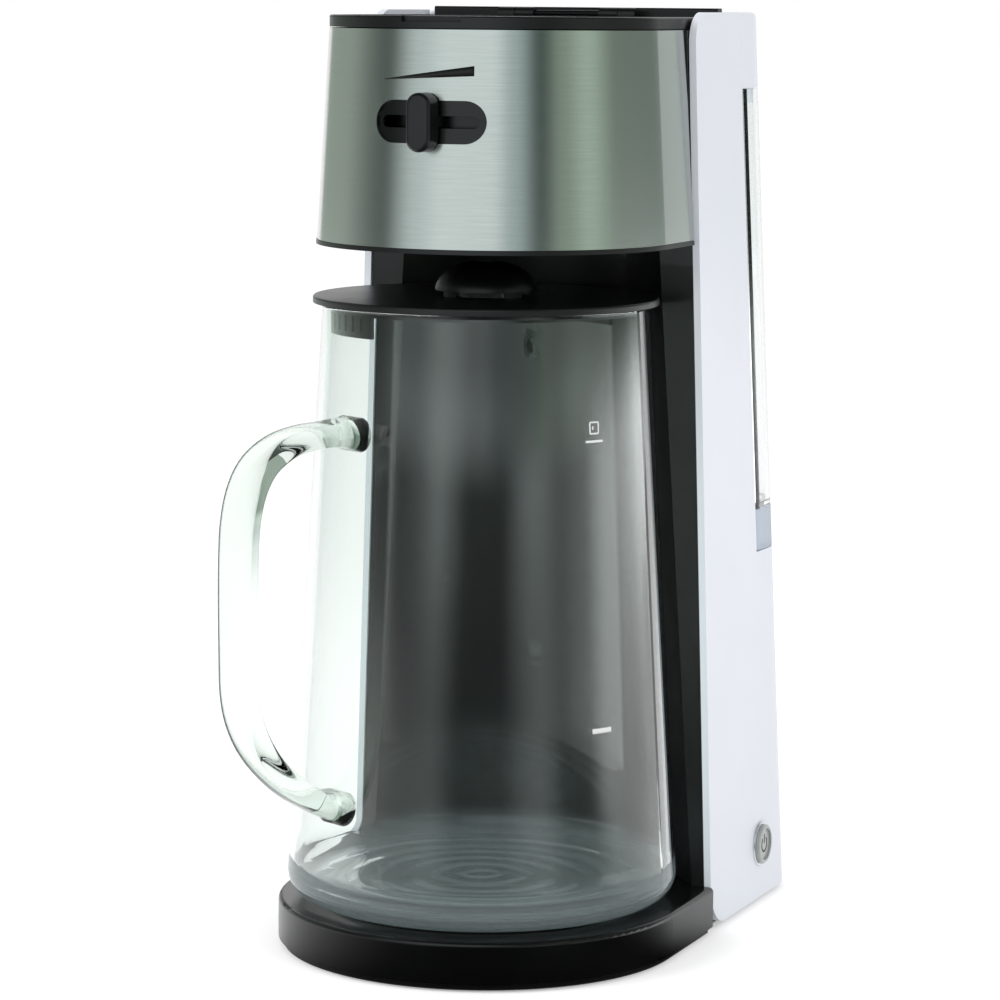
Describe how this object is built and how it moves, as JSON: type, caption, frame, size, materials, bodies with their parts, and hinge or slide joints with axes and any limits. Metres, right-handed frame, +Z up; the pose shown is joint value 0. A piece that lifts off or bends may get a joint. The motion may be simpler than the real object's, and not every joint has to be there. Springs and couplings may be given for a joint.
{
  "type": "iced coffee maker",
  "caption": "Drip machine for iced coffee: steel-banded brewing head over a conical glass jug with a strap handle, and a lift-off clear water tank at the back.",
  "frame": {"origin": "centre of the footprint's bounding box, on the surface that the feet stand on", "axes": "+Z up, +Y towards the back and the water tank, +X towards the power button's side"},
  "size_m": [0.1605, 0.2703, 0.3625],
  "materials": {
    "white_plastic": "satin white moulding",
    "black_plastic": "satin black moulding",
    "rubber": "matt",
    "steel": "plain",
    "brushed_steel": "brushed round the head",
    "silver_plastic": "silver lacquer",
    "aluminium": "extruded",
    "jug_glass": "clear",
    "clear_plastic": "clear copolyester",
    "frosted_plastic": "frosted",
    "chrome": "plated",
    "white_nylon": "natural",
    "board": "solder mask"
  },
  "bodies": {
    "machine": {"side_panel_right": "white_plastic", "side_panel_left": "white_plastic", "rear_cover": "white_plastic", "cord_gland": "black_plastic", "base_housing": "black_plastic", "base_plate": "black_plastic", "foot_1": "rubber", "foot_2": "rubber", "foot_3": "rubber", "foot_4": "rubber", "base_screw_1": "steel", "base_screw_2": "steel", "base_screw_3": "steel", "base_screw_4": "steel", "column": "black_plastic", "head_mount": "black_plastic", "column_duct": "black_plastic", "head_drum": "black_plastic", "steel_band": "brushed_steel", "slider_track": "black_plastic", "rear_deck": "black_plastic", "hinge_pin": "steel", "brew_basket": "black_plastic", "filter_floor": "black_plastic", "filter_frame": "black_plastic", "filter_mesh": "steel", "tank_shelf": "black_plastic", "button_bezel": "chrome", "switch_body": "black_plastic", "heater_element": "steel", "heater_water_tube": "aluminium", "heater_cradle": "steel", "thermostat": "steel", "feed_hose_top": "rubber", "check_valve": "white_nylon", "feed_hose": "rubber", "riser_hose": "rubber", "control_board": "board"},
    "slider": {"slider_knob": "black_plastic", "slider_shutter": "black_plastic"},
    "head_lid": {"lid_frame": "black_plastic", "lid_insert": "silver_plastic", "shower_head": "black_plastic"},
    "drip_valve": {"drip_stop": "black_plastic"},
    "jug": {"jug_glass": "jug_glass", "jug_handle": "jug_glass"},
    "jug_cover": {"jug_lid": "black_plastic", "jug_lid_dome": "black_plastic"},
    "tank": {"tank_body": "clear_plastic", "tank_base": "clear_plastic", "tank_foot": "frosted_plastic", "valve_collar": "black_plastic", "valve_seal": "rubber"},
    "tank_cover": {"tank_cap": "white_plastic"},
    "tank_valve": {"valve_plunger": "black_plastic"},
    "power_button": {"button_cap": "chrome"}
  },
  "joints": [
    {"name": "head_lid_hinge", "type": "hinge", "parent": "machine", "child": "head_lid", "pos_m": [0, 0.05784, 0.36], "axis": [-1, 0, 0], "range_deg": [0, 92]},
    {"name": "strength_slider", "type": "hinge", "parent": "machine", "child": "slider", "pos_m": [0, -0.01206, 0.3205], "axis": [0, 0, 1], "range_deg": [-14, 14]},
    {"name": "drip_stop_lift", "type": "slide", "parent": "machine", "child": "drip_valve", "axis": [0, 0, 1], "range_m": [0, 0.003], "stiffness_N_per_m": 60, "springref_m": -0.002},
    {"name": "jug_slide", "type": "slide", "parent": "machine", "child": "jug", "axis": [0, -1, 0], "range_m": [0, 0.18]},
    {"name": "jug_lid_turn", "type": "hinge", "parent": "jug", "child": "jug_cover", "pos_m": [0, -0.02216, 0.251], "axis": [0, 0, 1], "range_deg": [-90, 90]},
    {"name": "tank_lift", "type": "slide", "parent": "machine", "child": "tank", "axis": [0, 0, 1], "range_m": [0, 0.23]},
    {"name": "tank_cap_lift", "type": "slide", "parent": "tank", "child": "tank_cover", "axis": [0, 0, 1], "range_m": [0, 0.045]},
    {"name": "tank_valve_lift", "type": "slide", "parent": "tank", "child": "tank_valve", "axis": [0, 0, 1], "range_m": [0, 0.0025], "stiffness_N_per_m": 60, "springref_m": -0.002},
    {"name": "power_button_press", "type": "slide", "parent": "machine", "child": "power_button", "axis": [-1, 0, 0], "range_m": [0, 0.0015], "stiffness_N_per_m": 400, "springref_m": -0.001}
  ]
}
